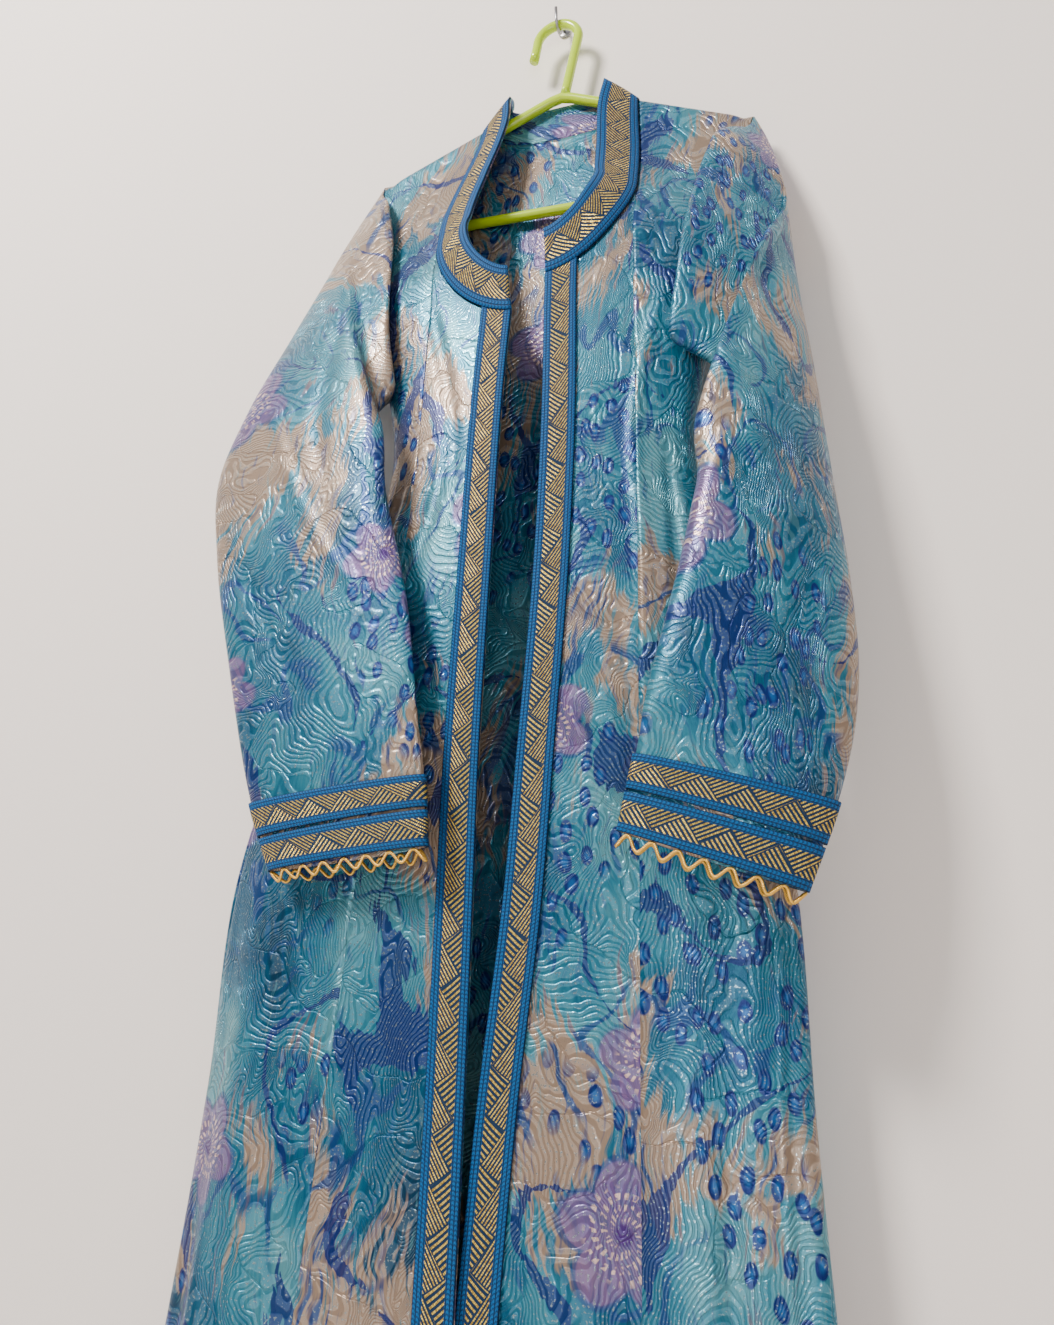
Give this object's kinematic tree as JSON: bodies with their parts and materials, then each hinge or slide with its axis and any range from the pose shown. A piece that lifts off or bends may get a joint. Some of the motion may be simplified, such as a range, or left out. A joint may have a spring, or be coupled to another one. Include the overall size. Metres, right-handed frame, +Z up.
{
  "type": "moroccan kaftan on hanger",
  "caption": "Long open-front brocade kaftan with braided collar, front bands and cuffs, on a tubular plastic hanger and a wall hook.",
  "frame": {"origin": "centre of the wall hook's flange, on the wall plane", "axes": "+Z up, +Y into the wall, +X to the viewer's right, which is the wearer's left"},
  "size_m": [0.525, 0.1305, 1.5363],
  "materials": {
    "brocade": "satin jacquard, printed",
    "braid": "knitted braid with metallic threads",
    "gold_cord": "twisted metallic cord",
    "lime_plastic": "glossy",
    "steel": "dull zinc-plated"
  },
  "bodies": {
    "root": {"back": "brocade", "front_centre_right": "brocade", "front_centre_left": "brocade", "front_side_right": "brocade", "front_side_left": "brocade", "sleeve_right": "brocade", "sleeve_left": "brocade", "collar": "brocade", "collar_braid": "braid", "front_braid_right": "braid", "front_braid_left": "braid", "cuff_braid_upper_right": "braid", "cuff_braid_lower_right": "braid", "cuff_braid_upper_left": "braid", "cuff_braid_lower_left": "braid", "cuff_cord_right": "gold_cord", "cuff_cord_left": "gold_cord", "hanger": "lime_plastic", "wall_hook": "steel"}
  },
  "joints": []
}
